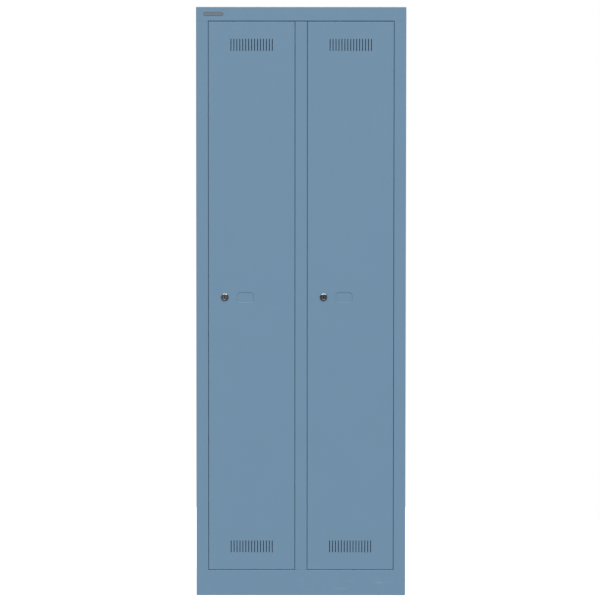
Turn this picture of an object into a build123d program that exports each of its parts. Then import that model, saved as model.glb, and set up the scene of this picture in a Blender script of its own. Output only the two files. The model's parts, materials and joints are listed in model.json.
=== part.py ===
from build123d import *

import os

# A two-compartment steel school locker: a welded sheet-metal cabinet with two tall doors.
# Millimetres. X runs to the viewer's right, Y to the rear and Z up. The origin is the centre of the
# footprint at floor level, the doors face -Y, and both doors hinge on their right edge.

# --- driving dimensions -------------------------------------------------------------------------
HEIGHT = 1770.0
WIDTH = 630.0
DEPTH = 500.0
SHEET = 0.8  # cabinet steel
DOOR_SHEET = 1.0
BEND = 2.0  # outer bend radius of folded sheet

STILE = 36.0  # visible width of each of the three uprights
TOP_RAIL = 42.0
PLINTH = 77.0
DOOR_GAP = 1.0  # at a door's sides and bottom
DOOR_GAP_TOP = 1.6
DOOR_DEPTH = 18.0

# --- cabinet planes worked out from them ---------------------------------------------------------
HALF_W = WIDTH / 2
FRONT = -DEPTH / 2
BACK = DEPTH / 2
WALL_IN = HALF_W - SHEET  # inner face of a side wall
STILE_EDGE = HALF_W - STILE  # inner edge of a side upright
CENTRE_EDGE = STILE / 2
RAIL_Z = HEIGHT - TOP_RAIL  # underside of the top rail
FRAME_REAR = FRONT + 24.0  # rear of the front frame, where the walls and the roof begin
SEAM = 0.2  # hairline left where two welded sheets butt
PLINTH_SEAM = 0.05  # closer joint beside the plinth, which is ground flush
PLINTH_HALF = STILE_EDGE + BEND  # the plinth reaches past the uprights' bends
CENTRE_RELIEF = 1.5  # open line between the centre upright and the top rail
FIT = 0.05  # radial room in a close hole
BACK_PANEL_Y = BACK - 2 * SHEET  # front face of the back panel
RETURN_DEPTH = 20.0  # how far rails turn in behind the front
RETURN_LIP = 8.0  # upturned edge of the top rail's return
FLOOR_SPAN = (FRAME_REAR + 2.0, BACK_PANEL_Y - BEND - 1.0)  # front and rear of the floor's full width
FLOOR_FLANGE = 14.0  # the floor's turned-down sides

# --- doors ---------------------------------------------------------------------------------------
APERTURE = STILE_EDGE - CENTRE_EDGE
DOOR_W = APERTURE - 2 * DOOR_GAP
DOOR_Z0 = PLINTH + DOOR_GAP
DOOR_Z1 = RAIL_Z - DOOR_GAP_TOP
DOOR_PITCH = APERTURE + STILE
DOOR_REAR = FRONT + DOOR_DEPTH
DOOR_HEM = 10.0
BUFFER_R = 4.0
BUFFER_T = 2.2
BUFFER_INSET = 100.0  # end buffers from the door's ends
BUFFER_DROP = 140.0  # middle buffer below the lock axis
STOP_Y = DOOR_REAR + BUFFER_T + 0.3  # front face of the strips that the doors close against
STOP_W = 12.0

PIVOT_INSET = 12.0  # pivot axis from the door's right edge
PIVOT_BACK = 5.8  # pivot axis behind the door's face
PIVOT_R = 2.5
PIVOT_Y = FRONT + PIVOT_BACK
PIVOT_OUT = 13.0  # pin length on the door's side of the sheet
PIVOT_HEAD = (PIVOT_R + 1.5, 2.5)  # radius, thickness
BUSH_R = 3.75
BUSH_DEEP = 8.0
BUSH_FLANGE_R = 4.9
BUSH_FLANGES = (0.9, 1.1)  # thickness at the bottom, which carries the door, and at the top
RIB_INSET = 40.0  # stiffening rib's middle from the door's right edge
RIB_DEEP = 13.0
RIB_HALVES = (21.0, 13.0, 10.0)  # half widths at the weld flanges, the feet and the crown
RIB_SHORT = 25.0  # each end stops this far from the door's end

VENT_COUNT = 15
VENT_PITCH = 8.85
VENT_SLOT = (2.3, 36.5)  # width, length
VENT_TOP_DROP = 69.9  # vent centre below the door's top edge
VENT_BOTTOM_RISE = 70.5  # vent centre above the door's bottom edge

LOCK_INSET = 48.5  # lock axis from the door's left edge
LOCK_Z = 900.0
PANEL_OFFSET = 62.0  # number panel's centre, right of the lock axis
PANEL_SIZE = (52.0, 32.0)
PANEL_R = 12.0
PANEL_DEEP = 1.8
PANEL_TAPER = 45.0
PANEL_SPREAD = 0.8  # the pressing is this much larger on the door's inside

# --- lock ----------------------------------------------------------------------------------------
ROSE_R = 11.5
ROSE_T = 3.2
ROSE_BEVEL = 2.0
PLUG_BEVEL = 0.5  # round the plug's hole in the rose
BARREL_R = 9.0
BARREL_FLATS = 15.6
BARREL_END = FRONT + 20.8
PLUG_R = 6.1
KEYWAY = (2.0, 7.6)  # width, height
KEYWAY_WARD = (1.4, 1.5)  # step in the keyway's right side
SCREW_R = 2.4
SCREW_L = 9.0
SCREW_HEAD = (5.2, 3.0)  # radius, thickness
SCREW_CROSS = (6.0, 1.2, 1.4)  # length and width of each slot, depth
PLUG_SUNK = 0.7  # plug face below the rose's
CAM_T = 2.5
CAM_Y = FRONT + 22.0  # front face of the cam
CAM_REACH = 45.5
CAM_W = 14.0
CAM_BOSS_R = 9.5
CAM_SQUARE = 7.0
WASHER_R = 8.0
NUT_R = 12.5  # across flats, halved
NUT_T = 4.0
WASHER_LUG = 5.0

# --- interior ------------------------------------------------------------------------------------
SHELF_TOP = 1420.0
SHELF_LIP = 22.0
SHELF_RETURN = 10.0  # the lip's turned-in lower edge
SHELF_FRONT = FRONT + 50.0
HANG_Z = 1350.0  # coat rail axis
HANG_Y = 20.0
HANG_R = 10.0
HANG_WALL = 1.2
SOCKET_FLANGE = (21.5, 2.5)  # radius, thickness
SOCKET_CUP = (13.0, 14.0)  # outer radius, length
RIVET_R = 2.0
RIVET_HEAD = (3.4, 1.0)  # radius, thickness
RIVET_OUT = 16.8  # rivet above and below the coat rail's axis
HOOK_SPREAD = 60.0  # hooks' rest places each side of a compartment's middle
HOOK_W = 10.0
HOOK_WIRE = 6.0  # thickness of stem and prongs
HOOK_WALL = 4.0  # ring round the coat rail
HOOK_DROP = 44.0  # lowest point of the prongs' middle line below the rail's axis
HOOK_REACH = 22.0
HOOK_RISE = 16.0  # how far the prongs turn up
HOOK_TIP_R = 4.2  # rounded ends of the prongs
HOOK_PLAY = 0.3  # radial room round the coat rail

PLATE_SIZE = (60.0, 11.0)  # nameplate
PLATE_X = -HALF_W + 52.0
PLATE_T = 0.9
PLATE_RIM = 1.6
PLATE_FIELD = 0.3  # how deep the field is sunk

FOOT_X = 278.0
FOOT_Y = 200.0
FOOT_PAD_R = 15.0
FOOT_PAD_T = 6.0
FOOT_HUB = (8.0, 10.0)  # radius, and height above the floor
STUD_R = 4.9
STUD_Z = (4.0, 60.0)
STUD_SLOT = (1.6, 3.0)  # width, depth
ACCESS_R = 6.0  # screwdriver holes above the feet
PLUG_CAP = (8.0, 1.4)  # radius, thickness of the covers over them
PLUG_STEM = 5.0  # their length below the floor's face
BRACKET_Z = 25.0
BRACKET_T = 2.0
BRACKET_SPAN = 52.0  # along the side wall
BRACKET_INNER = FOOT_X - 33.0
BRACKET_WEB = 30.0  # height against the side wall
WELD_NUT = (8.5, 8.0)  # half its width across flats, height
LINK_HOLE_R = 3.5
LINK_Y = 190.0
LINK_Z = (250.0, 1550.0)
WALL_HOLE_R = 4.0
WALL_HOLE_X = 220.0
WALL_HOLE_Z = 1690.0

SIDES = (("left", -1), ("right", 1))
LEFT_DOOR_X = -STILE_EDGE + DOOR_GAP  # the left door's left edge
DOORS = (("left", LEFT_DOOR_X), ("right", LEFT_DOOR_X + DOOR_PITCH))
COMPARTMENT_MID = (WALL_IN + SHEET / 2) / 2


# --- helpers -------------------------------------------------------------------------------------
def facing(y):
    """The XZ plane at this depth. A sketch on it extrudes towards the front."""
    return Plane.XZ.offset(-y)


def folded(points, left=True, thickness=SHEET, radius=BEND):
    """Section of a bent sheet. The points trace one face, and the steel lies left or right of it."""
    with BuildSketch() as section:
        with BuildLine():
            FilletPolyline(*points, radius=radius)
            offset(amount=thickness, side=Side.LEFT if left else Side.RIGHT)
        make_face()
    return section.sketch


def block(x, y, z):
    """A box from its three spans, each (low, high), made in the part that is being built."""
    with Locations(((x[0] + x[1]) / 2, (y[0] + y[1]) / 2, (z[0] + z[1]) / 2)):
        return Box(x[1] - x[0], y[1] - y[0], z[1] - z[0])


def cut(x, y, z):
    """Takes a box, given by its spans, out of the part that is being built."""
    with Locations(((x[0] + x[1]) / 2, (y[0] + y[1]) / 2, (z[0] + z[1]) / 2)):
        return Box(x[1] - x[0], y[1] - y[0], z[1] - z[0], mode=Mode.SUBTRACT)


def save(name, built):
    """Labels a finished piece and writes it as its own STEP file."""
    built.part.label = name
    export_step(built.part, f"parts/{name}.step")


# --- front frame ---------------------------------------------------------------------------------
def upright(sign):
    """Folded channel at one front corner, open to the rear. Its return is notched round the plinth."""
    path = [
        (sign * HALF_W, FRAME_REAR),
        (sign * HALF_W, FRONT),
        (sign * STILE_EDGE, FRONT),
    ]
    if sign < 0:  # lock side: the return ends where the stop strip is welded on
        path += [(-STILE_EDGE, STOP_Y)]
    else:  # hinge side: the return is hemmed behind the door's hinge edge
        path += [(STILE_EDGE, FRAME_REAR), (STILE_EDGE + STOP_W, FRAME_REAR)]
    with BuildPart() as channel:
        with BuildSketch():
            add(folded(path, left=sign < 0))
        extrude(amount=RAIL_Z - SEAM)
        bend = sorted((sign * (STILE_EDGE - SHEET), sign * PLINTH_HALF))
        hem = sorted((sign * STILE_EDGE, sign * (STILE_EDGE + STOP_W + SHEET)))
        cut(bend, (FRONT, FRAME_REAR), (0, PLINTH))
        cut(hem, (FRONT + 2 * BEND, FRAME_REAR), (0, PLINTH))
    return channel


def stop_strip(edge):
    """Flat strip along an upright's lock-side return, which the door closes against."""
    with BuildPart() as strip:
        block((edge - SHEET, edge + STOP_W), (STOP_Y, STOP_Y + SHEET), (PLINTH + 1, RAIL_Z - SEAM))
    return strip


def top_rail():
    """Front rail pressed as a long cap, turned in over the doors and pierced for the hinge pins."""
    with BuildPart() as rail:
        block((-HALF_W, HALF_W), (FRONT, FRAME_REAR), (RAIL_Z, HEIGHT))
        front_corners = rail.edges().filter_by(Axis.Z).group_by(Axis.Y)[0]
        top_edges = rail.faces().sort_by(Axis.Z)[-1].edges().sort_by(Axis.Y)[:-1]  # all but the rear one
        fillet(front_corners + top_edges, radius=BEND + 0.5)
        offset(amount=-SHEET, openings=[rail.faces().sort_by(Axis.Z)[0], rail.faces().sort_by(Axis.Y)[-1]])
        cut((-STILE_EDGE, STILE_EDGE), (FRONT, FRONT + SHEET), (RAIL_Z, RAIL_Z + 2 * BEND))
        with BuildSketch(Plane.YZ.offset(-STILE_EDGE)):
            add(
                folded(
                    [
                        (FRONT, RAIL_Z + 2 * BEND),
                        (FRONT, RAIL_Z),
                        (FRONT + RETURN_DEPTH, RAIL_Z),
                        (FRONT + RETURN_DEPTH, RAIL_Z + RETURN_LIP),
                    ]
                )
            )
        extrude(amount=2 * STILE_EDGE)
        with BuildSketch(Plane.XY.offset(RAIL_Z)):
            with Locations(*[(pivot_x(x), PIVOT_Y) for _, x in DOORS]):
                Circle(PIVOT_R + FIT)
        extrude(amount=SHEET, mode=Mode.SUBTRACT)
    return rail


def centre_stile():
    """Middle upright: its left edge is hemmed for the partition, its right carries a stop strip."""
    path = [
        (SHEET / 2, FRAME_REAR),
        (-CENTRE_EDGE, FRAME_REAR),
        (-CENTRE_EDGE, FRONT),
        (CENTRE_EDGE, FRONT),
        (CENTRE_EDGE, STOP_Y),
    ]
    with BuildPart() as stile:
        with BuildSketch(Plane.XY.offset(PLINTH + SEAM)):
            add(folded(path))
        extrude(amount=RAIL_Z - SEAM - PLINTH - SEAM)
        cut((-CENTRE_EDGE, CENTRE_EDGE), (FRONT, FRONT + BEND), (RAIL_Z - CENTRE_RELIEF, RAIL_Z))
    return stile


# --- cabinet shell -------------------------------------------------------------------------------
def side_panel(sign):
    """Flat side wall, welded behind the front frame."""
    with BuildPart() as panel:
        block(sorted((sign * WALL_IN, sign * HALF_W)), (FRAME_REAR, BACK), (0, HEIGHT - SHEET))
        with BuildSketch(Plane.YZ.offset(sign * HALF_W)):
            with Locations(*[(y, z) for y in (-LINK_Y, LINK_Y) for z in LINK_Z]):
                Circle(LINK_HOLE_R)
            with Locations(*[(HANG_Y, HANG_Z + dz) for dz in (-RIVET_OUT, RIVET_OUT)]):
                Circle(RIVET_R + FIT)
        extrude(amount=-sign * SHEET, mode=Mode.SUBTRACT)
    return panel


def top_panel():
    """Flat roof sheet on the walls, level with the top rail."""
    with BuildPart() as roof:
        block((-HALF_W, HALF_W), (FRAME_REAR, BACK), (HEIGHT - SHEET, HEIGHT))
        top_edges = roof.faces().sort_by(Axis.Z)[-1].edges().sort_by(Axis.Y)[1:]  # all but the front one
        fillet(top_edges, radius=0.6)
    return roof


def base_panel():
    """Compartment floor with the plinth folded down in front and a matching flange at the rear."""
    plinth_half = PLINTH_HALF - PLINTH_SEAM
    with BuildPart() as base:
        with BuildSketch(Plane.YZ.offset(-plinth_half)):
            add(
                folded(
                    [
                        (FRONT + RETURN_DEPTH, 0),
                        (FRONT, 0),
                        (FRONT, PLINTH),
                        (BACK_PANEL_Y, PLINTH),
                        (BACK_PANEL_Y, 0),
                        (BACK_PANEL_Y - RETURN_DEPTH, 0),
                    ],
                    left=False,
                )
            )
        extrude(amount=2 * plinth_half)
        block((-WALL_IN, WALL_IN), FLOOR_SPAN, (PLINTH - SHEET, PLINTH))
        for sign in (-1, 1):
            flange = sorted((sign * WALL_IN, sign * (WALL_IN - SHEET)))
            block(flange, FLOOR_SPAN, (PLINTH - FLOOR_FLANGE, PLINTH))
        with BuildSketch(Plane.XY.offset(PLINTH)):
            with Locations(*[(x, y) for x in (-FOOT_X, FOOT_X) for y in (-FOOT_Y, FOOT_Y)]):
                Circle(ACCESS_R)
            with Locations(*[(pivot_x(x), PIVOT_Y) for _, x in DOORS]):
                Circle(PIVOT_R + FIT)
        extrude(amount=-SHEET, mode=Mode.SUBTRACT)
    return base


def back_panel():
    """Flat rear sheet between the walls, set in from their edges by its own thickness."""
    with BuildPart() as back:
        block((-WALL_IN, WALL_IN), (BACK_PANEL_Y, BACK_PANEL_Y + SHEET), (1, HEIGHT - SHEET))
        with BuildSketch(facing(BACK_PANEL_Y + SHEET)):
            with Locations(*[(x, WALL_HOLE_Z) for x in (-WALL_HOLE_X, WALL_HOLE_X)]):
                Circle(WALL_HOLE_R)
        extrude(amount=SHEET, mode=Mode.SUBTRACT)
    return back


def centre_partition():
    """Single sheet between the compartments, from the centre upright to the back panel."""
    half = SHEET / 2
    with BuildPart() as partition:
        block((-half, half), (FRAME_REAR, BACK_PANEL_Y), (PLINTH, HEIGHT - SHEET))
        with BuildSketch(Plane.YZ.offset(half)):
            with Locations(*[(HANG_Y, HANG_Z + dz) for dz in (-RIVET_OUT, RIVET_OUT)]):
                Circle(RIVET_R + FIT)
        extrude(amount=-SHEET, mode=Mode.SUBTRACT)
    return partition


# --- doors ---------------------------------------------------------------------------------------
def pivot_x(door_x):
    """X of a door's pivot axis, from the X of its left edge."""
    return door_x + DOOR_W - PIVOT_INSET


def lock_x(door_x):
    return door_x + LOCK_INSET


def door_panel(x0):
    """Folded door pan with two banks of vent slots, a pressed number panel and the lock hole."""
    x1 = x0 + DOOR_W
    panel_at = (lock_x(x0) + PANEL_OFFSET, LOCK_Z)
    with BuildPart() as door:
        block((x0, x1), (FRONT, DOOR_REAR), (DOOR_Z0, DOOR_Z1))
        fillet(door.faces().sort_by(Axis.Y)[0].edges(), radius=BEND)
        offset(amount=-DOOR_SHEET, openings=door.faces().sort_by(Axis.Y)[-1])
        for hem in ((x0, x0 + DOOR_HEM), (x1 - DOOR_HEM, x1)):
            block(hem, (DOOR_REAR - DOOR_SHEET, DOOR_REAR), (DOOR_Z0 + DOOR_SHEET, DOOR_Z1 - DOOR_SHEET))
        with BuildSketch(Plane(origin=(0, FRONT + DOOR_SHEET, 0), x_dir=(1, 0, 0), z_dir=(0, 1, 0))):
            with Locations((panel_at[0], -panel_at[1])):
                RectangleRounded(PANEL_SIZE[0] + PANEL_SPREAD, PANEL_SIZE[1] + PANEL_SPREAD, PANEL_R)
        extrude(amount=PANEL_DEEP, taper=PANEL_TAPER)
        with BuildSketch(Plane(origin=(0, FRONT, 0), x_dir=(1, 0, 0), z_dir=(0, 1, 0))):
            with Locations((panel_at[0], -panel_at[1])):
                RectangleRounded(*PANEL_SIZE, PANEL_R)
        extrude(amount=PANEL_DEEP, taper=PANEL_TAPER, mode=Mode.SUBTRACT)
        with BuildSketch(facing(FRONT + 3)):
            for z in (DOOR_Z1 - VENT_TOP_DROP, DOOR_Z0 + VENT_BOTTOM_RISE):
                with Locations(((x0 + x1) / 2, z)):
                    with GridLocations(VENT_PITCH, 1, VENT_COUNT, 1):
                        SlotOverall(VENT_SLOT[1], VENT_SLOT[0], rotation=90)
            with Locations((lock_x(x0), LOCK_Z)):
                Circle(BARREL_R + FIT)
        extrude(amount=6, mode=Mode.SUBTRACT)
        with BuildSketch(Plane.XY.offset(DOOR_Z0)):
            with Locations((pivot_x(x0), PIVOT_Y)):
                Circle(BUSH_R + FIT)
        extrude(amount=DOOR_Z1 - DOOR_Z0, mode=Mode.SUBTRACT)
    return door


def door_stiffener(x0):
    """Hat-section rib welded down the inside of the door, on its hinge side."""
    middle = x0 + DOOR_W - RIB_INSET
    skin = FRONT + DOOR_SHEET
    crown = skin + RIB_DEEP
    flange, foot, top = RIB_HALVES
    path = [
        (middle - flange, skin),
        (middle - foot, skin),
        (middle - top, crown),
        (middle + top, crown),
        (middle + foot, skin),
        (middle + flange, skin),
    ]
    with BuildPart() as rib:
        with BuildSketch(Plane.XY.offset(DOOR_Z0 + RIB_SHORT)):
            add(folded(path, radius=1.5))
        extrude(amount=DOOR_Z1 - DOOR_Z0 - 2 * RIB_SHORT)
    return rib


def hinge_bushes(x0):
    """Nylon bushes in the door's top and bottom edges. The lower flange carries the door."""
    with BuildPart() as bushes:
        for z, outward, flange in ((DOOR_Z0, -1, BUSH_FLANGES[0]), (DOOR_Z1, 1, BUSH_FLANGES[1])):
            with BuildSketch(Plane.XY.offset(z)):
                with Locations((pivot_x(x0), PIVOT_Y)):
                    Circle(BUSH_FLANGE_R)
            extrude(amount=outward * flange)
            with BuildSketch(Plane.XY.offset(z)):
                with Locations((pivot_x(x0), PIVOT_Y)):
                    Circle(BUSH_R)
            extrude(amount=-outward * BUSH_DEEP)
            with BuildSketch(Plane.XY.offset(z)):
                with Locations((pivot_x(x0), PIVOT_Y)):
                    Circle(PIVOT_R + FIT)
            extrude(amount=BUSH_DEEP, both=True, mode=Mode.SUBTRACT)
    return bushes


def hinge_pins(x0):
    """Headed steel pivots welded through the top rail's return and the floor panel."""
    with BuildPart() as pins:
        for sheet_face, outward in ((PLINTH - SHEET, -1), (RAIL_Z + SHEET, 1)):
            with BuildSketch(Plane.XY.offset(sheet_face)):
                with Locations((pivot_x(x0), PIVOT_Y)):
                    Circle(PIVOT_HEAD[0])
            extrude(amount=outward * PIVOT_HEAD[1])
            with BuildSketch(Plane.XY.offset(sheet_face)):
                with Locations((pivot_x(x0), PIVOT_Y)):
                    Circle(PIVOT_R)
            extrude(amount=-outward * PIVOT_OUT)
        chamfer(pins.faces().filter_by(Axis.Z).group_by(SortBy.AREA)[0].edges(), length=0.8)
    return pins


def door_buffers(x0):
    """Rubber buttons on the stop strip, one near each end of the door and one below the lock."""
    x = x0 - DOOR_GAP + STOP_W - BUFFER_R - 0.6
    with BuildPart() as buffers:
        with BuildSketch(facing(STOP_Y)):
            heights = (DOOR_Z0 + BUFFER_INSET, LOCK_Z - BUFFER_DROP, DOOR_Z1 - BUFFER_INSET)
            with Locations(*[(x, z) for z in heights]):
                Circle(BUFFER_R)
        extrude(amount=BUFFER_T)
        fillet(buffers.faces().filter_by(Axis.Y).group_by(Axis.Y)[0].edges(), radius=0.8)
    return buffers


# --- lock ----------------------------------------------------------------------------------------
def lock_body(x0):
    """Die-cast lock case: bevelled round rose outside, flatted barrel through the door skin."""
    x = lock_x(x0)
    with BuildPart() as case:
        with BuildSketch(facing(FRONT)):
            with Locations((x, LOCK_Z)):
                Circle(ROSE_R)
        extrude(amount=ROSE_T)
        chamfer(case.faces().sort_by(Axis.Y)[0].edges(), length=ROSE_BEVEL)
        with BuildSketch(facing(BARREL_END)):
            with Locations((x, LOCK_Z)):
                Circle(BARREL_R)
                Rectangle(BARREL_FLATS, 3 * BARREL_R, mode=Mode.INTERSECT)
        extrude(amount=BARREL_END - FRONT)
        with BuildSketch(facing(BARREL_END)):
            with Locations((x, LOCK_Z)):
                Circle(PLUG_R + FIT)
        extrude(amount=BARREL_END - FRONT + ROSE_T, mode=Mode.SUBTRACT)
        plug_rim = case.faces().sort_by(Axis.Y)[0].inner_wires()[0].edges()
        chamfer(plug_rim, length=PLUG_BEVEL)
    return case


def lock_nut(x0):
    """Thin hexagon nut that clamps the lock case to the door skin."""
    with BuildPart() as nut:
        with BuildSketch(facing(FRONT + DOOR_SHEET + NUT_T)):
            with Locations((lock_x(x0), LOCK_Z)):
                RegularPolygon(radius=NUT_R, side_count=6, major_radius=False)
                Circle(BARREL_R + FIT, mode=Mode.SUBTRACT)
        extrude(amount=NUT_T)
        rear_rim = nut.faces().sort_by(Axis.Y)[-1].outer_wire().edges()
        chamfer(rear_rim, length=0.6)
    return nut


def lock_plug(x0):
    """Key cylinder with its keyway, and a square tail with a tapped hole for the cam."""
    face = FRONT - ROSE_T + PLUG_SUNK
    tail = CAM_Y + CAM_T
    with BuildPart() as plug:
        with BuildSketch(facing(BARREL_END)):
            with Locations((lock_x(x0), LOCK_Z)):
                Circle(PLUG_R)
        extrude(amount=BARREL_END - face)
        with BuildSketch(facing(tail)):
            with Locations((lock_x(x0), LOCK_Z)):
                Rectangle(CAM_SQUARE, CAM_SQUARE)
        extrude(amount=tail - BARREL_END)
        with BuildSketch(facing(FRONT + 12)):
            with Locations((lock_x(x0), LOCK_Z + 0.4)):
                Rectangle(*KEYWAY)
                with Locations((KEYWAY[0] / 2, -1.4)):
                    Rectangle(*KEYWAY_WARD)
        extrude(amount=20, mode=Mode.SUBTRACT)
        with BuildSketch(facing(tail)):
            with Locations((lock_x(x0), LOCK_Z)):
                Circle(SCREW_R + FIT)
        extrude(amount=SCREW_L + 1, mode=Mode.SUBTRACT)
    return plug


def lock_cam(x0):
    """Flat tongue on the plug's tail. It hangs down when unlocked."""
    tip = CAM_REACH - CAM_W / 2
    with BuildPart() as cam:
        with BuildSketch(facing(CAM_Y + CAM_T)):
            with Locations((lock_x(x0), LOCK_Z)):
                Circle(CAM_BOSS_R)
            with Locations((lock_x(x0), LOCK_Z - tip / 2)):
                Rectangle(CAM_W, tip)
            with Locations((lock_x(x0), LOCK_Z - tip)):
                Circle(CAM_W / 2)
            with Locations((lock_x(x0), LOCK_Z)):
                Rectangle(CAM_SQUARE + 0.1, CAM_SQUARE + 0.1, mode=Mode.SUBTRACT)
        extrude(amount=CAM_T)
    return cam


def lock_washer(x0):
    """Stop washer between the barrel and the cam, with the lug that limits the turn."""
    with BuildPart() as washer:
        with BuildSketch(facing(CAM_Y)):
            with Locations((lock_x(x0), LOCK_Z)):
                Circle(WASHER_R)
            with Locations((lock_x(x0), LOCK_Z + WASHER_R)):
                Rectangle(WASHER_LUG, WASHER_LUG)
            with Locations((lock_x(x0), LOCK_Z)):
                Rectangle(CAM_SQUARE + 0.1, CAM_SQUARE + 0.1, mode=Mode.SUBTRACT)
        extrude(amount=CAM_Y - BARREL_END - 0.1)
    return washer


def cam_screw(x0):
    """Pan-head screw with a cross recess, which holds the cam on the plug."""
    seat = CAM_Y + CAM_T
    with BuildPart() as screw:
        with BuildSketch(facing(seat + SCREW_HEAD[1])):
            with Locations((lock_x(x0), LOCK_Z)):
                Circle(SCREW_HEAD[0])
        extrude(amount=SCREW_HEAD[1])
        fillet(screw.faces().sort_by(Axis.Y)[-1].edges(), radius=1.4)
        with BuildSketch(facing(seat)):
            with Locations((lock_x(x0), LOCK_Z)):
                Circle(SCREW_R)
        extrude(amount=SCREW_L)
        with BuildSketch(facing(seat + SCREW_HEAD[1])):
            with Locations((lock_x(x0), LOCK_Z)):
                Rectangle(SCREW_CROSS[0], SCREW_CROSS[1])
                Rectangle(SCREW_CROSS[1], SCREW_CROSS[0])
        extrude(amount=SCREW_CROSS[2], mode=Mode.SUBTRACT)
    return screw


# --- compartment fittings ------------------------------------------------------------------------
def hat_shelf(sign):
    """Shelf pressed as an upturned tray, welded between a side wall and the partition."""
    spans = sorted((sign * WALL_IN, sign * SHEET / 2))
    with BuildPart() as shelf:
        block(spans, (SHELF_FRONT, BACK_PANEL_Y), (SHELF_TOP - SHELF_LIP, SHELF_TOP))
        fillet(shelf.edges().filter_by(Axis.X).group_by(Axis.Z)[-1].sort_by(Axis.Y)[0], radius=BEND)
        offset(amount=-SHEET, openings=shelf.faces().sort_by(Axis.Z)[0])
        lip = (SHELF_TOP - SHELF_LIP, SHELF_TOP - SHELF_LIP + SHEET)
        block((spans[0] + SHEET, spans[1] - SHEET), (SHELF_FRONT, SHELF_FRONT + SHELF_RETURN), lip)
    return shelf


def coat_rail(sign):
    """Plated steel tube, its ends inside the two sockets."""
    inner = SHEET / 2 + SOCKET_FLANGE[1]
    outer = WALL_IN - SOCKET_FLANGE[1]
    with BuildPart() as rail:
        with BuildSketch(Plane.YZ.offset(sign * inner)):
            with Locations((HANG_Y, HANG_Z)):
                Circle(HANG_R)
                Circle(HANG_R - HANG_WALL, mode=Mode.SUBTRACT)
        extrude(amount=sign * (outer - inner))
    return rail


def rail_sockets():
    """Four cups that carry the coat rails, two on the side walls and two on the partition."""
    with BuildPart() as sockets:
        for x, inward in (
            (-WALL_IN, 1),
            (-SHEET / 2, -1),
            (SHEET / 2, 1),
            (WALL_IN, -1),
        ):
            with BuildSketch(Plane.YZ.offset(x)):
                with Locations((HANG_Y, HANG_Z)):
                    Circle(SOCKET_FLANGE[0])
                with Locations(*[(HANG_Y, HANG_Z + dz) for dz in (-RIVET_OUT, RIVET_OUT)]):
                    Circle(RIVET_R + FIT, mode=Mode.SUBTRACT)
            extrude(amount=inward * SOCKET_FLANGE[1])
            with BuildSketch(Plane.YZ.offset(x + inward * SOCKET_FLANGE[1])):
                with Locations((HANG_Y, HANG_Z)):
                    Circle(SOCKET_CUP[0])
                    Circle(HANG_R + FIT, mode=Mode.SUBTRACT)
            extrude(amount=inward * (SOCKET_CUP[1] - SOCKET_FLANGE[1]))
    return sockets


def rail_socket_rivets():
    """Blind rivets through each socket flange. The partition's rivets hold a socket on each side."""
    flange = SOCKET_FLANGE[1]
    with BuildPart() as rivets:
        for z in (HANG_Z - RIVET_OUT, HANG_Z + RIVET_OUT):
            for low, high, heads in (
                (-HALF_W, -WALL_IN + flange, (1,)),
                (-SHEET / 2 - flange, SHEET / 2 + flange, (-1, 1)),
                (WALL_IN - flange, HALF_W, (-1,)),
            ):
                with BuildSketch(Plane.YZ.offset(low)):
                    with Locations((HANG_Y, z)):
                        Circle(RIVET_R)
                extrude(amount=high - low)
                for outward in heads:
                    with BuildSketch(Plane.YZ.offset(high if outward > 0 else low)):
                        with Locations((HANG_Y, z)):
                            Circle(RIVET_HEAD[0])
                    extrude(amount=outward * RIVET_HEAD[1])
    return rivets


def coat_hook(x):
    """Sliding double hook: a ring round the coat rail, a stem and a prong to the front and the rear."""
    beside_rail = Plane(origin=(x - HOOK_W / 2, HANG_Y, HANG_Z), x_dir=(0, 1, 0), z_dir=(1, 0, 0))
    with BuildPart() as hook:
        with BuildSketch(beside_rail):
            Circle(HANG_R + HOOK_WALL)
            with BuildLine() as spine:
                Line((0, -HANG_R - HOOK_WALL / 2), (0, -HOOK_DROP))
                for way in (-1, 1):
                    ThreePointArc(
                        (0, -HOOK_DROP),
                        (way * 0.72 * HOOK_REACH, -HOOK_DROP + 2),
                        (way * HOOK_REACH, HOOK_RISE - HOOK_DROP),
                    )
            trace(spine.edges(), line_width=HOOK_WIRE)
            with Locations(*[(way * HOOK_REACH, HOOK_RISE - HOOK_DROP) for way in (-1, 1)]):
                Circle(HOOK_TIP_R)
            Circle(HANG_R + HOOK_PLAY, mode=Mode.SUBTRACT)
        extrude(amount=HOOK_W)
    return hook


def nameplate():
    """Small blank plate with a sunk field, on the left end of the top rail."""
    with BuildPart() as plate:
        with BuildSketch(facing(FRONT)):
            with Locations((PLATE_X, RAIL_Z + TOP_RAIL / 2)):
                SlotOverall(*PLATE_SIZE)
        extrude(amount=PLATE_T)
        fillet(plate.faces().sort_by(Axis.Y)[0].edges(), radius=0.35)
        with BuildSketch(facing(FRONT - PLATE_T)):
            with Locations((PLATE_X, RAIL_Z + TOP_RAIL / 2)):
                SlotOverall(PLATE_SIZE[0] - 2 * PLATE_RIM, PLATE_SIZE[1] - 2 * PLATE_RIM)
        extrude(amount=-PLATE_FIELD, mode=Mode.SUBTRACT)
    return plate


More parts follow.
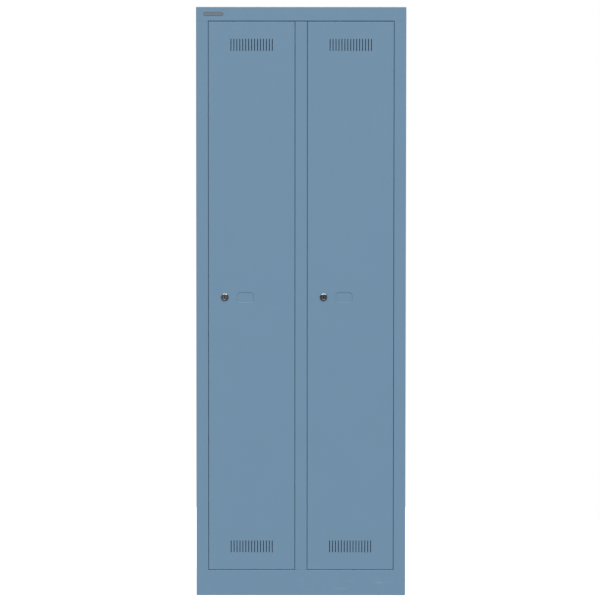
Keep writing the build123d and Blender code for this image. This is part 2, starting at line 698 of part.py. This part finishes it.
# --- levelling feet ------------------------------------------------------------------------------
def foot_brackets():
    """Corner angles with a weld nut each, welded to the side walls under the floor."""
    with BuildPart() as brackets:
        for sx in (-1, 1):
            for sy in (-1, 1):
                seat = sorted((sx * WALL_IN, sx * BRACKET_INNER))
                web = sorted((sx * WALL_IN, sx * (WALL_IN - BRACKET_T)))
                depth = (sy * FOOT_Y - BRACKET_SPAN / 2, sy * FOOT_Y + BRACKET_SPAN / 2)
                block(seat, depth, (BRACKET_Z, BRACKET_Z + BRACKET_T))
                block(web, depth, (BRACKET_Z, BRACKET_Z + BRACKET_WEB))
                with BuildSketch(Plane.XY.offset(BRACKET_Z + BRACKET_T)):
                    with Locations((sx * FOOT_X, sy * FOOT_Y)):
                        RegularPolygon(radius=WELD_NUT[0], side_count=6, major_radius=False)
                extrude(amount=WELD_NUT[1])
                with BuildSketch(Plane.XY.offset(BRACKET_Z)):
                    with Locations((sx * FOOT_X, sy * FOOT_Y)):
                        Circle(STUD_R + 2 * FIT)
                extrude(amount=BRACKET_T + WELD_NUT[1], mode=Mode.SUBTRACT)
    return brackets


def foot_stud(x, y):
    """Threaded spindle, slotted at its top end."""
    with BuildPart() as stud:
        with BuildSketch(Plane.XY.offset(STUD_Z[0])):
            with Locations((x, y)):
                Circle(STUD_R)
        extrude(amount=STUD_Z[1] - STUD_Z[0])
        chamfer(stud.faces().sort_by(Axis.Z)[-1].edges(), length=0.8)
        with BuildSketch(Plane.XY.offset(STUD_Z[1])):
            with Locations((x, y)):
                Rectangle(3 * STUD_R, STUD_SLOT[0])
        extrude(amount=-STUD_SLOT[1], mode=Mode.SUBTRACT)
    return stud


def foot_pad(x, y):
    """Moulded glide on the foot of the spindle, level with the bottom of the plinth."""
    with BuildPart() as pad:
        with BuildSketch():
            with Locations((x, y)):
                Circle(FOOT_PAD_R)
        extrude(amount=FOOT_PAD_T)
        fillet(pad.faces().sort_by(Axis.Z)[-1].edges(), radius=1.5)
        with BuildSketch(Plane.XY.offset(FOOT_PAD_T)):
            with Locations((x, y)):
                Circle(FOOT_HUB[0])
        extrude(amount=FOOT_HUB[1] - FOOT_PAD_T)
        with BuildSketch(Plane.XY.offset(STUD_Z[0])):
            with Locations((x, y)):
                Circle(STUD_R + FIT)
        extrude(amount=FOOT_HUB[1] - STUD_Z[0], mode=Mode.SUBTRACT)
    return pad


def floor_plugs():
    """Push-in covers over the four foot access holes."""
    with BuildPart() as plugs:
        for x in (-FOOT_X, FOOT_X):
            for y in (-FOOT_Y, FOOT_Y):
                with BuildSketch(Plane.XY.offset(PLINTH)):
                    with Locations((x, y)):
                        Circle(PLUG_CAP[0])
                extrude(amount=PLUG_CAP[1])
                with BuildSketch(Plane.XY.offset(PLINTH)):
                    with Locations((x, y)):
                        Circle(ACCESS_R - FIT)
                extrude(amount=-PLUG_STEM)
    return plugs


# --- everything, written out ---------------------------------------------------------------------
os.makedirs("parts", exist_ok=True)

for side, sign in SIDES:
    save(f"{side}_upright", upright(sign))
    save(f"{side}_side_panel", side_panel(sign))
    save(f"{side}_hat_shelf", hat_shelf(sign))
    save(f"{side}_coat_rail", coat_rail(sign))
    for place, shift in (("outer", sign * HOOK_SPREAD), ("inner", -sign * HOOK_SPREAD)):
        save(f"{side}_{place}_coat_hook", coat_hook(sign * COMPARTMENT_MID + shift))
    for end, y in (("front", -FOOT_Y), ("rear", FOOT_Y)):
        save(f"{end}_{side}_foot_stud", foot_stud(sign * FOOT_X, y))
        save(f"{end}_{side}_foot_pad", foot_pad(sign * FOOT_X, y))

save("left_stop_strip", stop_strip(-STILE_EDGE))
save("right_stop_strip", stop_strip(CENTRE_EDGE))
save("top_rail", top_rail())
save("top_panel", top_panel())
save("base_panel", base_panel())
save("back_panel", back_panel())
save("centre_partition", centre_partition())
save("centre_stile", centre_stile())
save("rail_sockets", rail_sockets())
save("rail_socket_rivets", rail_socket_rivets())
save("nameplate", nameplate())
save("foot_brackets", foot_brackets())
save("floor_plugs", floor_plugs())

DOOR_PIECES = {
    "door_panel": door_panel,
    "door_stiffener": door_stiffener,
    "hinge_bushes": hinge_bushes,
    "hinge_pins": hinge_pins,
    "door_buffers": door_buffers,
    "lock_body": lock_body,
    "lock_nut": lock_nut,
    "lock_plug": lock_plug,
    "lock_cam": lock_cam,
    "lock_washer": lock_washer,
    "cam_screw": cam_screw,
}
for side, door_x in DOORS:
    for piece, make in DOOR_PIECES.items():
        save(f"{side}_{piece}", make(door_x))
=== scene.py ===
import json
import math

import bpy
from mathutils import Matrix, Vector


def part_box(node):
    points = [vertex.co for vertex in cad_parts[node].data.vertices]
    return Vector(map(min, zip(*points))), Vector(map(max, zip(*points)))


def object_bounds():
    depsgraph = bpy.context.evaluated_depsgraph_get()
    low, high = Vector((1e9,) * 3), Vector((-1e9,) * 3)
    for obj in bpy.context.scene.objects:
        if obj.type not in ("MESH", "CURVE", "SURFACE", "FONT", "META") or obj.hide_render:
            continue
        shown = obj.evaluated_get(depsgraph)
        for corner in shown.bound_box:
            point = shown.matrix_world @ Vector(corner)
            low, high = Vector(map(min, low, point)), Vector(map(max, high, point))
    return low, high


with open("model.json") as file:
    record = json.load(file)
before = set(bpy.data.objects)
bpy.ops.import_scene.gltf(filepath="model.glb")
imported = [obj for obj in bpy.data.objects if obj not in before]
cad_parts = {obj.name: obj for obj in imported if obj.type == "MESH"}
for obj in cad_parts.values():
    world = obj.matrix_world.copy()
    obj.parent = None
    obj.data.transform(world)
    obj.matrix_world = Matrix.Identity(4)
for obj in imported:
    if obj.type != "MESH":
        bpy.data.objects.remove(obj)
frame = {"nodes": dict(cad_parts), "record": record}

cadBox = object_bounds()
nodes = frame["nodes"]


class Val:
    # one socket of the material being made; sums on it add Math nodes
    def __init__(self, maker, socket):
        self.maker = maker
        self.socket = socket

    def calc(self, operation, *values):
        return self.maker.node("Math", {"operation": operation}, dict(enumerate(values)))

    def __add__(self, other):
        return self.calc("ADD", self, other)

    def __radd__(self, other):
        return self.calc("ADD", other, self)

    def __sub__(self, other):
        return self.calc("SUBTRACT", self, other)

    def __rsub__(self, other):
        return self.calc("SUBTRACT", other, self)

    def __mul__(self, other):
        return self.calc("MULTIPLY", self, other)

    def __rmul__(self, other):
        return self.calc("MULTIPLY", other, self)

    def __truediv__(self, other):
        return self.calc("DIVIDE", self, other)

    def __rtruediv__(self, other):
        return self.calc("DIVIDE", other, self)

    def __abs__(self):
        return self.calc("ABSOLUTE", self)

    def fract(self):
        return self.calc("FRACT", self)

    def root(self):
        return self.calc("SQRT", self)

    def max(self, other):
        return self.calc("MAXIMUM", self, other)

    def fade(self, low, high):
        # 0 up to low, 1 from high on, smooth between
        settings = {"interpolation_type": "SMOOTHSTEP"}
        return self.maker.node("MapRange", settings, {"Value": self, "From Min": low, "From Max": high})


class Maker:
    # one material's node tree
    def __init__(self, name):
        self.material = bpy.data.materials.new(name)
        self.material.use_nodes = True
        self.tree = self.material.node_tree
        self.tree.nodes.clear()

    def node(self, kind, settings=None, inputs=None, out=0):
        made = self.tree.nodes.new("ShaderNode" + kind)
        for key, value in (settings or {}).items():
            setattr(made, key, value)
        for key, value in (inputs or {}).items():
            if isinstance(value, Val):
                self.tree.links.new(value.socket, made.inputs[key])
            else:
                made.inputs[key].default_value = value
        return Val(self, made.outputs[out] if made.outputs else None)

    def place(self):
        # a point of the piece in metres, which goes with the piece when it moves
        return self.node("TexCoord", out="Object")

    def axes(self, vector):
        return [self.node("SeparateXYZ", None, {0: vector}, i) for i in range(3)]

    def noise(self, vector, size, detail=2.0, roughness=0.5):
        # size is the rough distance from one crest to the next, in metres
        return self.node("TexNoise", None, {"Vector": vector, "Scale": 1 / size, "Detail": detail,
                                            "Roughness": roughness})

    def stretch(self, vector, x, y, z):
        return self.node("VectorMath", {"operation": "MULTIPLY"}, {0: vector, 1: (x, y, z)})

    def over(self, factor, below, above):
        return self.node("Mix", {"data_type": "RGBA"}, {0: factor, 6: below, 7: above}, 2)

    def shade(self, colour, value):
        # the colour times a grey value near 1
        grey = self.node("CombineColor", None, {0: value, 1: value, 2: value})
        settings = {"data_type": "RGBA", "blend_type": "MULTIPLY"}
        return self.node("Mix", settings, {0: 1.0, 6: colour, 7: grey}, 2)

    def bump(self, height, depth, below=None):
        # depth is the real height of the relief in metres
        inputs = {"Height": height, "Distance": depth, "Strength": 1.0}
        if below is not None:
            inputs["Normal"] = below
        return self.node("Bump", None, inputs)

    def finish(self, inputs):
        shader = self.node("BsdfPrincipled", None, inputs)
        self.node("OutputMaterial", None, {"Surface": shader})
        return self.material


def far(u, v):
    # distance from the origin of two coordinates
    return (u * u + v * v).root()


# the grey-blue powder coat of the cabinet and the doors
paint = {
    "colour": (0.142, 0.253, 0.368, 1),
    "rubbed": (0.25, 0.36, 0.46, 1),  # where shoes and keys have dulled it
    "roughness": 0.40,
    "specular": 0.45,
    "peelSize": 0.0022,  # orange peel, crest to crest
    "peelDepth": 0.000012,
    "sheetWave": 0.24,  # slow waves of a large thin sheet
    "waveDepth": 0.00035,
    "mottle": 0.022,  # how much slow clouds of shade change the colour
    "mottleSize": 0.09,
    "scuffTop": 0.085,  # shoe marks reach this high
    "scuffSize": 0.006,  # height of one streak
    "scuffPatch": 0.11,  # from one scuffed place to the next
    "keyMarkSize": 0.0016,
    "keyMarkStart": 0.013,  # from the lock's centre
    "keyMarkEnd": 0.042,
    "weldPitch": 0.085,
    "weldRadius": 0.0036,
    "weldDepth": 0.0007,
    "weldInset": 0.008,  # from the edge of the sheet that is welded on
}


def weldRow(across, along):
    # a row of shallow dimples: across is the distance from the row, along the place on it
    step = ((along / paint["weldPitch"]).fract() - 0.5) * paint["weldPitch"]
    return 1 - far(across, step).fade(0.4 * paint["weldRadius"], paint["weldRadius"])


def spotWelds(x, y, z):
    # where the shelves, the partition, the floor and the front frame are welded on from inside;
    # x + y runs along the back and along the walls alike
    high = cadBox[1]
    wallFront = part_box("left_side_panel")[0].y
    shelf = weldRow(z - (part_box("left_hat_shelf")[1].z - paint["weldInset"]), x + y)
    floor = weldRow(z - (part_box("base_panel")[1].z - paint["weldInset"]), x + y)
    frontEdge = y - (wallFront + paint["weldInset"])
    levels = shelf.max(floor)
    onBack = y.fade(high.y - 0.0012, high.y - 0.0009) * levels.max(weldRow(x, z))
    onWalls = abs(x).fade(high.x - 0.0003, high.x - 0.0001) * levels.max(weldRow(frontEdge, z))
    onWalls = onWalls * y.fade(wallFront, wallFront + 0.0005)
    onRoof = z.fade(high.z - 0.0003, high.z - 0.0001) * weldRow(frontEdge, x)
    return onBack.max(onWalls).max(onRoof)


def makePaint(name, lockAt=None):
    m = Maker(name)
    at = m.place()
    x, y, z = m.axes(at)
    peel = m.noise(at, paint["peelSize"], 1.0)
    wave = m.noise(at, paint["sheetWave"], 1.0)
    cloud = m.noise(at, paint["mottleSize"], 3.0)
    # shoe scuffs: long level streaks near the floor, only where two noises agree
    streak = m.noise(m.stretch(at, 0.16, 0.16, 1.0), paint["scuffSize"], 3.0, 0.7)
    patch = m.noise(at, paint["scuffPatch"], 2.0)
    reach = 1 - z.fade(0.5 * paint["scuffTop"], paint["scuffTop"])
    marks = streak.fade(0.60, 0.68) * patch.fade(0.52, 0.66) * reach * 0.5
    if lockAt is not None:
        # fine upright scratches that keys on a ring leave round the lock
        away = far(x - lockAt.x, z - lockAt.z)
        scratch = m.noise(m.stretch(at, 1.0, 1.0, 0.22), paint["keyMarkSize"], 2.0, 0.6)
        inner = away.fade(paint["keyMarkStart"] - 0.002, paint["keyMarkStart"])
        near = inner * (1 - away.fade(paint["keyMarkStart"] + 0.003, paint["keyMarkEnd"]))
        marks = marks.max(scratch.fade(0.62, 0.70) * near * 0.35)
    colour = m.over(marks, paint["colour"], paint["rubbed"])
    colour = m.shade(colour, 1 - 0.5 * paint["mottle"] + cloud * paint["mottle"])
    relief = m.bump(wave, paint["waveDepth"])
    relief = m.bump(peel, paint["peelDepth"], relief)
    relief = m.bump(1 - spotWelds(x, y, z), paint["weldDepth"], relief)
    rough = paint["roughness"] - 0.03 + cloud * 0.06 + marks * 0.3
    return m.finish({"Base Color": colour, "Roughness": rough, "Normal": relief,
                     "Specular IOR Level": paint["specular"]})


# chrome plate on the lock's rose and plug, and on the coat rails
chrome = {
    "colour": (0.60, 0.61, 0.63, 1),
    "dull": (0.40, 0.41, 0.43, 1),
    "roughness": 0.10,
    "scratchSize": 0.0006,
    "scratchDepth": 0.000003,
    "hazeSize": 0.006,
    "keywayShadeAndGrease": (0.012, 0.011, 0.010, 1),  # painted shade and grease inside the keyway
}


def makeChrome(name, along=(1.0, 1.0, 0.12), roughness=chrome["roughness"], faceAt=None):
    m = Maker(name)
    at = m.place()
    scratch = m.noise(m.stretch(at, *along), chrome["scratchSize"], 3.0, 0.65)
    haze = m.noise(at, chrome["hazeSize"], 2.0)
    colour = m.over(haze.fade(0.45, 0.75) * 0.5, chrome["colour"], chrome["dull"])
    rough = roughness + haze.fade(0.4, 0.8) * 0.10 + scratch.fade(0.6, 0.75) * 0.10
    if faceAt is not None:
        # behind its face the plug shows only inside the keyway, which is painted near black there as shade
        # and grease
        inside = m.axes(at)[1].fade(faceAt + 0.0002, faceAt + 0.0006)
        colour = m.over(inside, colour, chrome["keywayShadeAndGrease"])
        rough = rough + inside * 0.5
    relief = m.bump(scratch, chrome["scratchDepth"])
    return m.finish({"Base Color": colour, "Metallic": 1.0, "Roughness": rough, "Normal": relief})


# bright zinc on pins, nuts, cams, screws and brackets
zinc = {
    "colour": (0.50, 0.50, 0.49, 1),
    "straw": (0.52, 0.47, 0.36, 1),
    "white": (0.60, 0.60, 0.59, 1),
    "roughness": 0.36,
    "flowSize": 0.011,  # the straw tint of the passivation
    "bloomSize": 0.004,  # white oxide
    "grainSize": 0.0007,
    "grainDepth": 0.000008,
}


def makeZinc(name):
    m = Maker(name)
    at = m.place()
    flow = m.noise(at, zinc["flowSize"], 3.0)
    grain = m.noise(at, zinc["grainSize"], 2.0)
    bloom = m.noise(at, zinc["bloomSize"], 4.0, 0.65)
    colour = m.over(flow.fade(0.40, 0.70) * 0.7, zinc["colour"], zinc["straw"])
    colour = m.over(bloom.fade(0.60, 0.75) * 0.6, colour, zinc["white"])
    rough = zinc["roughness"] + bloom.fade(0.5, 0.8) * 0.25 + grain * 0.06
    relief = m.bump(grain, zinc["grainDepth"])
    return m.finish({"Base Color": colour, "Metallic": 1.0, "Roughness": rough, "Normal": relief})


# the spark-eroded texture of every moulding, and the dust on it
moulded = {
    "sparkSize": 0.0005,
    "sparkDepth": 0.00002,
    "dustSize": 0.012,
}

# moulded plastics: each has a colour, and a paler colour where it is rubbed
plastics = {
    "black": {"colour": (0.022, 0.022, 0.024, 1), "rubbed": (0.07, 0.07, 0.072, 1), "roughness": 0.42},
    "grey": {"colour": (0.105, 0.135, 0.165, 1), "rubbed": (0.17, 0.20, 0.23, 1), "roughness": 0.50},
    "rubber": {"colour": (0.016, 0.016, 0.016, 1), "rubbed": (0.06, 0.058, 0.055, 1), "roughness": 0.78},
}


def makePlastic(name, kind):
    look = plastics[kind]
    m = Maker(name)
    at = m.place()
    spark = m.noise(at, moulded["sparkSize"], 2.0)
    dust = m.noise(at, moulded["dustSize"], 4.0, 0.6)
    colour = m.over(dust.fade(0.50, 0.80) * 0.6, look["colour"], look["rubbed"])
    rough = look["roughness"] + dust.fade(0.4, 0.8) * 0.14 + spark * 0.05
    relief = m.bump(spark, moulded["sparkDepth"])
    return m.finish({"Base Color": colour, "Roughness": rough, "Normal": relief})


# the blank nameplate: lacquered and brushed along its length, with a paler field inside its rim; both
# colours carry a blue tint as painted reflection of the doors, and the darker rim is painted shade along
# its edge
plate = {
    "rimShadeAndReflection": (0.140, 0.178, 0.215, 1),
    "field": (0.186, 0.236, 0.285, 1),
    "rimWidth": 0.0013,
    "rimBlur": 0.0003,  # over which the rim turns into the field
    "metal": 0.35,
    "roughness": 0.38,
    "brushSize": 0.0003,
    "brushDepth": 0.000006,
}


def makeNameplate(name):
    m = Maker(name)
    at = m.place()
    x, _, z = m.axes(at)
    low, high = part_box("nameplate")
    middle = (low + high) / 2
    half = (high - low) / 2
    brushed = m.noise(m.stretch(at, 0.02, 1.0, 1.0), plate["brushSize"], 3.0, 0.6)
    # its ends are half round, so the distance to its middle line gives the rim
    ends = (abs(x - middle.x) - (half.x - half.z)).max(0.0)
    rimAt = half.z - plate["rimWidth"]
    onShadedRim = far(ends, z - middle.z).fade(rimAt, rimAt + plate["rimBlur"])
    # the darker rim is painted edge shade; both colours hold a painted blue reflection
    colour = m.over(onShadedRim, plate["field"], plate["rimShadeAndReflection"])
    colour = m.shade(colour, 0.88 + brushed * 0.24)
    rough = plate["roughness"] + brushed * 0.16
    relief = m.bump(brushed, plate["brushDepth"])
    return m.finish({"Base Color": colour, "Metallic": plate["metal"], "Roughness": rough,
                     "Normal": relief})


def lockCentre(side):
    low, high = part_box(side + "_lock_body")
    return (low + high) / 2


finishes = {
    "cabinet_paint": makePaint("cabinetPaint"),
    "left_door_paint": makePaint("leftDoorPaint", lockCentre("left")),
    "right_door_paint": makePaint("rightDoorPaint", lockCentre("right")),
    "lock_chrome": makeChrome("lockChrome"),
    "plug_chrome": makeChrome("plugChrome", roughness=0.2, faceAt=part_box("left_lock_plug")[0].y),
    "rail_chrome": makeChrome("railChrome", (0.05, 1.0, 1.0), 0.2),
    "zinc_steel": makeZinc("zincSteel"),
    "socket_plastic": makePlastic("socketPlastic", "black"),
    "hook_plastic": makePlastic("hookPlastic", "black"),
    "foot_plastic": makePlastic("footPlastic", "black"),
    "bush_nylon": makePlastic("bushNylon", "black"),
    "plug_plastic": makePlastic("plugPlastic", "grey"),
    "buffer_rubber": makePlastic("bufferRubber", "rubber"),
    "plate_metal": makeNameplate("plateMetal"),
}
print("finishes:", len(finishes))

for part in frame["record"]["subparts"]:
    piece = nodes[part["node"]]
    slot = part["material_slot"]
    if slot == "door_paint":
        slot = part["node"].split("_")[0] + "_" + slot
    if part["node"].endswith("lock_plug"):
        slot = "plug_chrome"
    piece.data.materials.clear()
    piece.data.materials.append(finishes[slot])
print("every piece has its finish")

# edges that the real pieces have rounded: moulded hooks and sockets, pressed brackets, the rubbed cams
softEdges = {
    "coat_hook": {"width": 0.0021, "segments": 4},
    "rail_sockets": {"width": 0.0009, "segments": 3},
    "lock_cam": {"width": 0.0004, "segments": 2},
    "foot_brackets": {"width": 0.0005, "segments": 2},
    "floor_plugs": {"width": 0.0006, "segments": 3},
}


def soften(piece, width, segments):
    # the weld joins the faces again, and the dissolve gives the bevel whole flat faces to work on
    weld = piece.modifiers.new("weld", "WELD")
    weld.merge_threshold = 0.00001
    flat = piece.modifiers.new("flat", "DECIMATE")
    flat.decimate_type = "DISSOLVE"
    flat.angle_limit = math.radians(1)
    bevel = piece.modifiers.new("bevel", "BEVEL")
    bevel.width = width
    bevel.segments = segments
    bevel.angle_limit = math.radians(40)
    normals = piece.modifiers.new("normals", "WEIGHTED_NORMAL")
    normals.keep_sharp = False


for ending, edge in softEdges.items():
    for name, piece in nodes.items():
        if name.endswith(ending):
            soften(piece, **edge)
print("edges rounded")


# the room: a pale floor that meets a white background
room = {
    "floorRadius": 1.6,
    "floorColour": (0.86, 0.86, 0.86, 1),
    "floorGlow": 0.75,
    "floorDrop": 0.0005,  # below the feet
    "background": 1.0,  # as the camera sees it
    "ambient": 0.59,  # as it lights matt surfaces
    "mirrored": 0.06,  # as glossy surfaces reflect it
}


def makeFloor():
    mesh = bpy.data.meshes.new("floor")
    ring = 96
    count = 6
    rings = [room["floorRadius"] * k / count for k in range(1, count + 1)]
    points = [(0, 0, 0)]
    for radius in rings:
        for k in range(ring):
            turn = 2 * math.pi * k / ring
            points.append((radius * math.cos(turn), radius * math.sin(turn), 0))
    faces = [(0, 1 + k, 1 + (k + 1) % ring) for k in range(ring)]
    for r in range(len(rings) - 1):
        a, b = 1 + r * ring, 1 + (r + 1) * ring
        faces += [(a + k, b + k, b + (k + 1) % ring, a + (k + 1) % ring) for k in range(ring)]
    mesh.from_pydata(points, [], faces)
    floor = bpy.data.objects.new("floor", mesh)
    bpy.context.scene.collection.objects.link(floor)
    floor.location.z = cadBox[0].z - room["floorDrop"]
    floor.visible_diffuse = False  # keeps the glow of the floor off the plinth
    floor.visible_glossy = False
    m = Maker("paleFloor")
    cloud = m.noise(m.place(), 0.3, 3.0)
    colour = m.shade(room["floorColour"], 0.985 + cloud * 0.03)
    mesh.materials.append(m.finish({"Base Color": colour, "Roughness": 0.8, "Emission Color": (1, 1, 1, 1),
                                    "Emission Strength": room["floorGlow"]}))


def makeSky():
    world = bpy.data.worlds.new("studio")
    bpy.context.scene.world = world
    world.use_nodes = True
    tree = world.node_tree
    tree.nodes.clear()
    output = tree.nodes.new("ShaderNodeOutputWorld")
    seen = tree.nodes.new("ShaderNodeLightPath")
    last = None
    for ray, strength in ((None, room["ambient"]), ("Is Glossy Ray", room["mirrored"]),
                          ("Is Camera Ray", room["background"])):
        glow = tree.nodes.new("ShaderNodeBackground")
        glow.inputs["Strength"].default_value = strength
        glow.inputs["Color"].default_value = (1, 1, 1, 1)
        if last is None:
            last = glow.outputs[0]
        else:
            choose = tree.nodes.new("ShaderNodeMixShader")
            tree.links.new(seen.outputs[ray], choose.inputs[0])
            tree.links.new(last, choose.inputs[1])
            tree.links.new(glow.outputs[0], choose.inputs[2])
            last = choose.outputs[0]
    tree.links.new(last, output.inputs["Surface"])


# soft lights, each with the way it comes from in degrees: turn from straight in front, and height;
# mattOnly leaves no highlight anywhere, and glossOnly leaves nothing but highlights
lights = {
    "key": {"turn": 22, "height": 44, "strength": 1.30, "spread": 30},
    "fill": {"turn": -30, "height": 14, "strength": 0.25, "spread": 60},
    "front": {"turn": 0, "height": 12, "strength": 0.55, "spread": 120, "mattOnly": True},
    "top": {"turn": 0, "height": 84, "strength": 2.2, "spread": 75, "glossOnly": True},
    "back": {"turn": 160, "height": 40, "strength": 0.7, "spread": 60},
}


def makeLights():
    for name, light in lights.items():
        data = bpy.data.lights.new(name, "SUN")
        data.energy = light["strength"]
        data.angle = math.radians(light["spread"])
        lamp = bpy.data.objects.new(name, data)
        bpy.context.scene.collection.objects.link(lamp)
        turn, height = math.radians(light["turn"]), math.radians(light["height"])
        level = math.cos(height)
        source = Vector((math.sin(turn) * level, -math.cos(turn) * level, math.sin(height)))
        lamp.rotation_euler = source.to_track_quat("Z", "Y").to_euler()
        lamp.location = source * 4
        lamp.visible_diffuse = not light.get("glossOnly", False)
        lamp.visible_glossy = not light.get("mattOnly", False)


# a long lens a little above the middle of the locker, looking slightly down
camera = {
    "distance": 5.0,  # from the doors
    "down": 1.5,
    "roll": 0.035,
    "lens": 99.78,
    "shift": (-0.00175, 0.00403),
}


def makeCamera():
    data = bpy.data.cameras.new("camera")
    data.lens = camera["lens"]
    data.sensor_width = 36
    data.shift_x, data.shift_y = camera["shift"]
    data.clip_end = 50
    made = bpy.data.objects.new("camera", data)
    bpy.context.scene.collection.objects.link(made)
    target = Vector((0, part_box("base_panel")[0].y, cadBox[1].z / 2))
    down = math.radians(camera["down"])
    made.location = target + camera["distance"] * Vector((0, -math.cos(down), math.sin(down)))
    tilt = Matrix.Rotation(math.radians(90) - down, 4, "X")
    roll = Matrix.Rotation(math.radians(camera["roll"]), 4, "Z")
    made.rotation_euler = (tilt @ roll).to_euler()
    bpy.context.scene.camera = made


makeFloor()
makeSky()
makeLights()
makeCamera()
settings = bpy.context.scene.view_settings
settings.view_transform = "Standard"
settings.look = "None"
print("room, lights and camera are in place")
